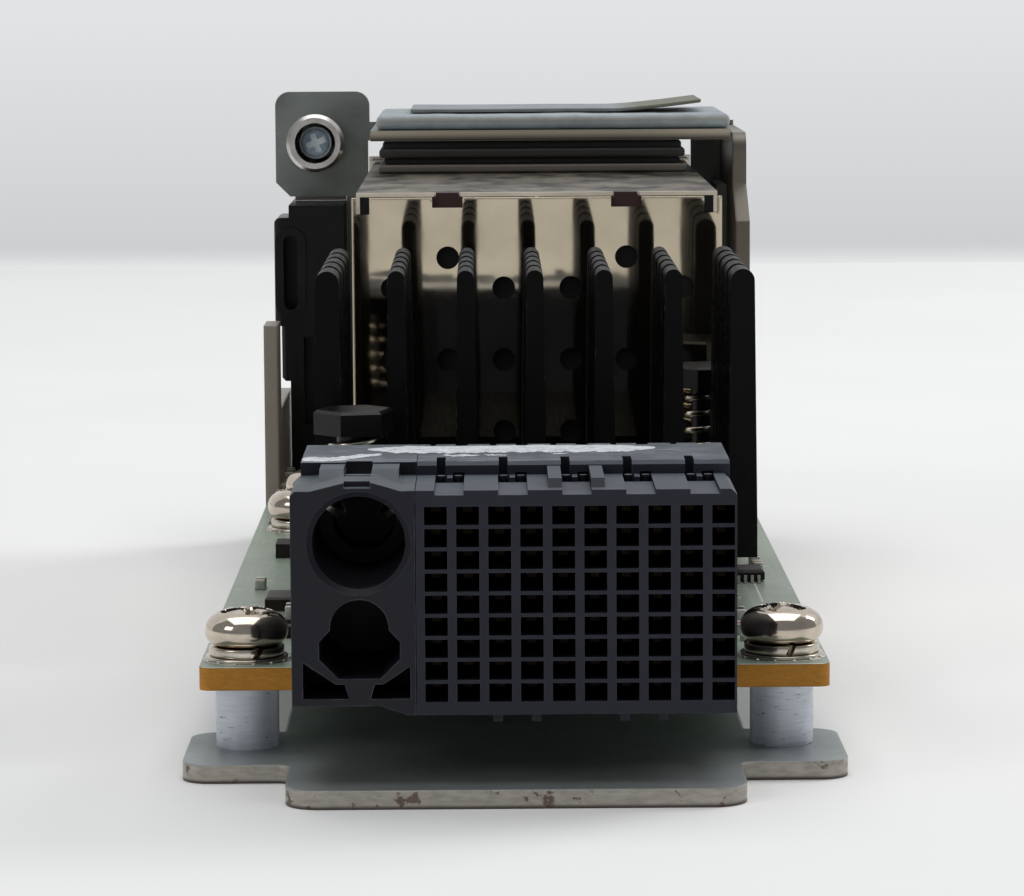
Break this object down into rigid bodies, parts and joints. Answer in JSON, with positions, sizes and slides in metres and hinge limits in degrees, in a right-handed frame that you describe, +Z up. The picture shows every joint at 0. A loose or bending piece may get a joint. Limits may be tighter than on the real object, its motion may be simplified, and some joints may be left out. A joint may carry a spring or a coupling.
{
  "type": "switch line card",
  "caption": "Small pluggable line card with a backplane connector, a finned heat sink, a port cage behind a bent faceplate, a captive screw and an ejector lever.",
  "frame": {"origin": "on the underside of the carrier sheet, on the centre plane, in line with the mating face of the backplane connector", "axes": "+Y from the backplane connector to the faceplate, +Z up from the carrier sheet, +X to the right as seen from the connector end"},
  "size_m": [0.0432, 0.1355, 0.0413],
  "materials": {
    "zinc_sheet": "galvanised",
    "plate_sheet": "dull grey-green plated",
    "zinc_posts": "turned and zinc plated",
    "nickel": "bright nickel",
    "board": "solder mask",
    "slate_plastic": "moulded",
    "contact_metal": "gold flash",
    "black_aluminium": "black anodised",
    "black_plastic": "glossy",
    "chip": "moulded",
    "lid": "nickel plated",
    "soft_grey": "soft",
    "cage_metal": "bright nickel",
    "clear": "clear moulded"
  },
  "bodies": {
    "card": {"carrier_tray": "zinc_sheet", "faceplate": "plate_sheet", "standoffs": "zinc_posts", "faceplate_rivets": "zinc_posts", "board_screws": "nickel", "lock_washers": "nickel", "flat_washers": "nickel", "pin_spring_near": "nickel", "pin_spring_far": "nickel", "screw_spring": "nickel", "lever_pin": "nickel", "screw_ferrule": "nickel", "circuit_board": "board", "signal_housing": "slate_plastic", "wafer_organiser": "slate_plastic", "guide_block": "slate_plastic", "wafer_pins": "slate_plastic", "wafer_1": "slate_plastic", "wafer_2": "slate_plastic", "wafer_3": "slate_plastic", "wafer_4": "slate_plastic", "wafer_5": "slate_plastic", "wafer_6": "slate_plastic", "wafer_7": "slate_plastic", "wafer_8": "slate_plastic", "wafer_9": "slate_plastic", "wafer_10": "slate_plastic", "contacts": "contact_metal", "heat_sink": "black_aluminium", "chip_body": "chip", "dark_chip": "chip", "gull_wing_chip": "chip", "brown_block": "chip", "port_connector_left": "chip", "port_connector_right": "chip", "chip_lid": "lid", "gull_wing_legs": "lid", "thermal_pad": "soft_grey", "cage_gasket": "soft_grey", "top_gasket": "soft_grey", "gasket_strip": "soft_grey", "cage_shell": "cage_metal", "cage_floor": "cage_metal", "cage_divider": "cage_metal", "cage_rear_cover": "cage_metal", "cage_collar": "cage_metal", "port_separator_left": "cage_metal", "port_separator_right": "cage_metal", "light_pipe_left": "clear", "light_pipe_right": "clear"},
    "lever": {"ejector_lever": "black_plastic"},
    "screw_carrier": {"screw_retainer": "nickel"},
    "screw": {"captive_screw": "nickel"},
    "pin_near": {"push_pin_near": "black_plastic"},
    "pin_far": {"push_pin_far": "black_plastic"}
  },
  "joints": [
    {"name": "lever_swing", "type": "hinge", "parent": "card", "child": "lever", "pos_m": [-0.017, 0.1175, 0.006], "axis": [-1, 0, 0], "range_deg": [0, 70]},
    {"name": "captive_press", "type": "slide", "parent": "card", "child": "screw_carrier", "axis": [0, -1, 0], "range_m": [0, 0.003], "stiffness_N_per_m": 150, "springref_m": -0.003, "deforming": ["screw_spring"]},
    {"name": "captive_turn", "type": "hinge", "parent": "screw_carrier", "child": "screw", "pos_m": [-0.0173, 0.13, 0.0367], "axis": [0, 1, 0], "continuous": true},
    {"name": "pin_near_press", "type": "slide", "parent": "card", "child": "pin_near", "axis": [0, 0, -1], "range_m": [0, 0.0015], "stiffness_N_per_m": 1000, "springref_m": -0.002, "deforming": ["pin_spring_near"]},
    {"name": "pin_far_press", "type": "slide", "parent": "card", "child": "pin_far", "axis": [0, 0, -1], "range_m": [0, 0.0015], "stiffness_N_per_m": 1000, "springref_m": -0.002, "deforming": ["pin_spring_far"]}
  ]
}
